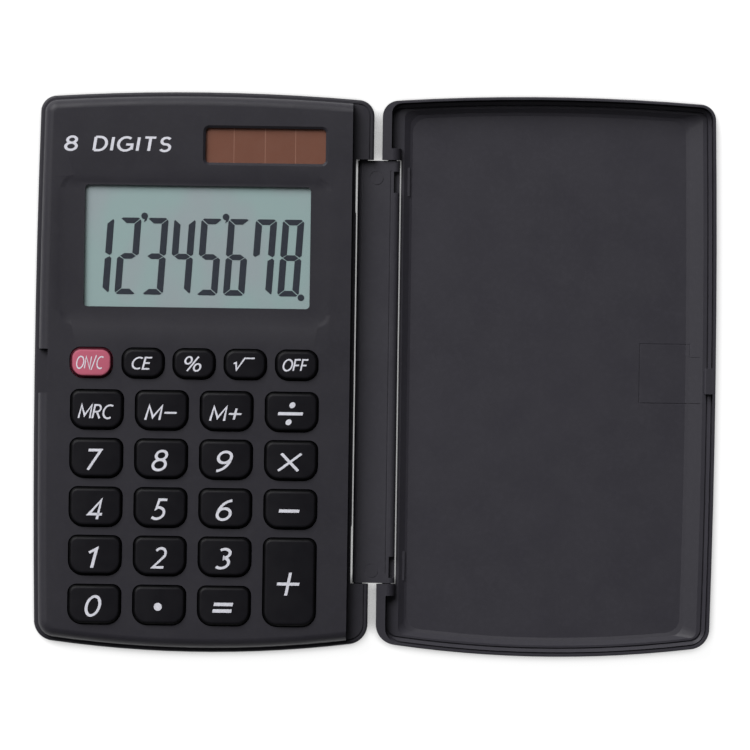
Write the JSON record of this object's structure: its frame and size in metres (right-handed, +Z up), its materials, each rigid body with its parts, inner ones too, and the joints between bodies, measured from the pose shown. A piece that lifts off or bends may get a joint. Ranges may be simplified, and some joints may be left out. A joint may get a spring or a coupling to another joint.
{
  "type": "pocket calculator",
  "caption": "Pocket calculator with display, solar strip and sprung keys; a hard cover on a hinge link folds over the keys or right behind.",
  "frame": {"origin": "middle of the hinge link, on the plane that the opened halves rest on", "axes": "+X from the calculator towards the opened cover, +Y towards the display end, +Z up out of the keys"},
  "size_m": [0.14, 0.115, 0.0093],
  "materials": {
    "casing_plastic": "fine satin texture, charcoal",
    "cover_plastic": "fine satin texture, charcoal",
    "link_plastic": "satin, dark grey",
    "key_plastic": "satin, near black, printed legends",
    "pink_key_plastic": "satin, pink",
    "clear_window": "clear gloss",
    "lcd_glass": "grey-green liquid crystal panel",
    "reflector_foil": "soft silver",
    "connector_rubber": "striped",
    "board_laminate": "phenolic laminate",
    "potting_resin": "glossy black",
    "ceramic": "tan ceramic",
    "diode_glass": "orange glass",
    "solar_glass": "reddish brown amorphous silicon",
    "red_insulation": "smooth",
    "black_insulation": "smooth",
    "keypad_rubber": "grey silicone",
    "carbon_rubber": "conductive black",
    "cell_steel": "nickel plated",
    "contact_metal": "tinned spring strip",
    "screw_steel": "zinc plated"
  },
  "bodies": {
    "calculator": {"front_casing": "casing_plastic", "back_casing": "casing_plastic", "display_window": "clear_window", "solar_window": "clear_window", "lcd_panel": "lcd_glass", "lcd_reflector": "reflector_foil", "zebra_connector": "connector_rubber", "main_board": "board_laminate", "chip_blob": "potting_resin", "capacitor": "ceramic", "clamp_diode": "diode_glass", "solar_cell": "solar_glass", "solar_lead_red": "red_insulation", "solar_lead_black": "black_insulation", "keypad_membrane": "keypad_rubber", "contact_pills": "carbon_rubber", "button_cell": "cell_steel", "battery_contact_plus": "contact_metal", "battery_contact_minus": "contact_metal", "case_screws": "screw_steel", "board_screws": "screw_steel"},
    "hinge_link": {"hinge_link": "link_plastic"},
    "flip_cover": {"flip_cover": "cover_plastic"},
    "key_on_clear": {"key_on_clear": "pink_key_plastic"},
    "key_clear_entry": {"key_clear_entry": "key_plastic"},
    "key_percent": {"key_percent": "key_plastic"},
    "key_square_root": {"key_square_root": "key_plastic"},
    "key_off": {"key_off": "key_plastic"},
    "key_memory_recall": {"key_memory_recall": "key_plastic"},
    "key_memory_minus": {"key_memory_minus": "key_plastic"},
    "key_memory_plus": {"key_memory_plus": "key_plastic"},
    "key_divide": {"key_divide": "key_plastic"},
    "key_7": {"key_7": "key_plastic"},
    "key_8": {"key_8": "key_plastic"},
    "key_9": {"key_9": "key_plastic"},
    "key_multiply": {"key_multiply": "key_plastic"},
    "key_4": {"key_4": "key_plastic"},
    "key_5": {"key_5": "key_plastic"},
    "key_6": {"key_6": "key_plastic"},
    "key_minus": {"key_minus": "key_plastic"},
    "key_1": {"key_1": "key_plastic"},
    "key_2": {"key_2": "key_plastic"},
    "key_3": {"key_3": "key_plastic"},
    "key_plus": {"key_plus": "key_plastic"},
    "key_0": {"key_0": "key_plastic"},
    "key_point": {"key_point": "key_plastic"},
    "key_equals": {"key_equals": "key_plastic"}
  },
  "joints": [
    {"name": "link_hinge", "type": "hinge", "parent": "calculator", "child": "hinge_link", "pos_m": [-0.00295, 0, 0.00275], "axis": [0, -1, 0], "range_deg": [-90, 90]},
    {"name": "cover_hinge", "type": "hinge", "parent": "hinge_link", "child": "flip_cover", "pos_m": [0.00295, 0, 0.00275], "axis": [0, -1, 0], "range_deg": [-90, 90]},
    {"name": "key_on_clear_press", "type": "slide", "parent": "calculator", "child": "key_on_clear", "axis": [0, 0, -1], "range_m": [0, 0.0009], "stiffness_N_per_m": 500, "springref_m": -0.0006, "deforming": ["keypad_membrane"]},
    {"name": "key_clear_entry_press", "type": "slide", "parent": "calculator", "child": "key_clear_entry", "axis": [0, 0, -1], "range_m": [0, 0.0009], "stiffness_N_per_m": 500, "springref_m": -0.0006, "deforming": ["keypad_membrane"]},
    {"name": "key_percent_press", "type": "slide", "parent": "calculator", "child": "key_percent", "axis": [0, 0, -1], "range_m": [0, 0.0009], "stiffness_N_per_m": 500, "springref_m": -0.0006, "deforming": ["keypad_membrane"]},
    {"name": "key_square_root_press", "type": "slide", "parent": "calculator", "child": "key_square_root", "axis": [0, 0, -1], "range_m": [0, 0.0009], "stiffness_N_per_m": 500, "springref_m": -0.0006, "deforming": ["keypad_membrane"]},
    {"name": "key_off_press", "type": "slide", "parent": "calculator", "child": "key_off", "axis": [0, 0, -1], "range_m": [0, 0.0009], "stiffness_N_per_m": 500, "springref_m": -0.0006, "deforming": ["keypad_membrane"]},
    {"name": "key_memory_recall_press", "type": "slide", "parent": "calculator", "child": "key_memory_recall", "axis": [0, 0, -1], "range_m": [0, 0.0009], "stiffness_N_per_m": 500, "springref_m": -0.0006, "deforming": ["keypad_membrane"]},
    {"name": "key_memory_minus_press", "type": "slide", "parent": "calculator", "child": "key_memory_minus", "axis": [0, 0, -1], "range_m": [0, 0.0009], "stiffness_N_per_m": 500, "springref_m": -0.0006, "deforming": ["keypad_membrane"]},
    {"name": "key_memory_plus_press", "type": "slide", "parent": "calculator", "child": "key_memory_plus", "axis": [0, 0, -1], "range_m": [0, 0.0009], "stiffness_N_per_m": 500, "springref_m": -0.0006, "deforming": ["keypad_membrane"]},
    {"name": "key_divide_press", "type": "slide", "parent": "calculator", "child": "key_divide", "axis": [0, 0, -1], "range_m": [0, 0.0009], "stiffness_N_per_m": 500, "springref_m": -0.0006, "deforming": ["keypad_membrane"]},
    {"name": "key_7_press", "type": "slide", "parent": "calculator", "child": "key_7", "axis": [0, 0, -1], "range_m": [0, 0.0009], "stiffness_N_per_m": 500, "springref_m": -0.0006, "deforming": ["keypad_membrane"]},
    {"name": "key_8_press", "type": "slide", "parent": "calculator", "child": "key_8", "axis": [0, 0, -1], "range_m": [0, 0.0009], "stiffness_N_per_m": 500, "springref_m": -0.0006, "deforming": ["keypad_membrane"]},
    {"name": "key_9_press", "type": "slide", "parent": "calculator", "child": "key_9", "axis": [0, 0, -1], "range_m": [0, 0.0009], "stiffness_N_per_m": 500, "springref_m": -0.0006, "deforming": ["keypad_membrane"]},
    {"name": "key_multiply_press", "type": "slide", "parent": "calculator", "child": "key_multiply", "axis": [0, 0, -1], "range_m": [0, 0.0009], "stiffness_N_per_m": 500, "springref_m": -0.0006, "deforming": ["keypad_membrane"]},
    {"name": "key_4_press", "type": "slide", "parent": "calculator", "child": "key_4", "axis": [0, 0, -1], "range_m": [0, 0.0009], "stiffness_N_per_m": 500, "springref_m": -0.0006, "deforming": ["keypad_membrane"]},
    {"name": "key_5_press", "type": "slide", "parent": "calculator", "child": "key_5", "axis": [0, 0, -1], "range_m": [0, 0.0009], "stiffness_N_per_m": 500, "springref_m": -0.0006, "deforming": ["keypad_membrane"]},
    {"name": "key_6_press", "type": "slide", "parent": "calculator", "child": "key_6", "axis": [0, 0, -1], "range_m": [0, 0.0009], "stiffness_N_per_m": 500, "springref_m": -0.0006, "deforming": ["keypad_membrane"]},
    {"name": "key_minus_press", "type": "slide", "parent": "calculator", "child": "key_minus", "axis": [0, 0, -1], "range_m": [0, 0.0009], "stiffness_N_per_m": 500, "springref_m": -0.0006, "deforming": ["keypad_membrane"]},
    {"name": "key_1_press", "type": "slide", "parent": "calculator", "child": "key_1", "axis": [0, 0, -1], "range_m": [0, 0.0009], "stiffness_N_per_m": 500, "springref_m": -0.0006, "deforming": ["keypad_membrane"]},
    {"name": "key_2_press", "type": "slide", "parent": "calculator", "child": "key_2", "axis": [0, 0, -1], "range_m": [0, 0.0009], "stiffness_N_per_m": 500, "springref_m": -0.0006, "deforming": ["keypad_membrane"]},
    {"name": "key_3_press", "type": "slide", "parent": "calculator", "child": "key_3", "axis": [0, 0, -1], "range_m": [0, 0.0009], "stiffness_N_per_m": 500, "springref_m": -0.0006, "deforming": ["keypad_membrane"]},
    {"name": "key_plus_press", "type": "slide", "parent": "calculator", "child": "key_plus", "axis": [0, 0, -1], "range_m": [0, 0.0009], "stiffness_N_per_m": 500, "springref_m": -0.0006, "deforming": ["keypad_membrane"]},
    {"name": "key_0_press", "type": "slide", "parent": "calculator", "child": "key_0", "axis": [0, 0, -1], "range_m": [0, 0.0009], "stiffness_N_per_m": 500, "springref_m": -0.0006, "deforming": ["keypad_membrane"]},
    {"name": "key_point_press", "type": "slide", "parent": "calculator", "child": "key_point", "axis": [0, 0, -1], "range_m": [0, 0.0009], "stiffness_N_per_m": 500, "springref_m": -0.0006, "deforming": ["keypad_membrane"]},
    {"name": "key_equals_press", "type": "slide", "parent": "calculator", "child": "key_equals", "axis": [0, 0, -1], "range_m": [0, 0.0009], "stiffness_N_per_m": 500, "springref_m": -0.0006, "deforming": ["keypad_membrane"]}
  ]
}
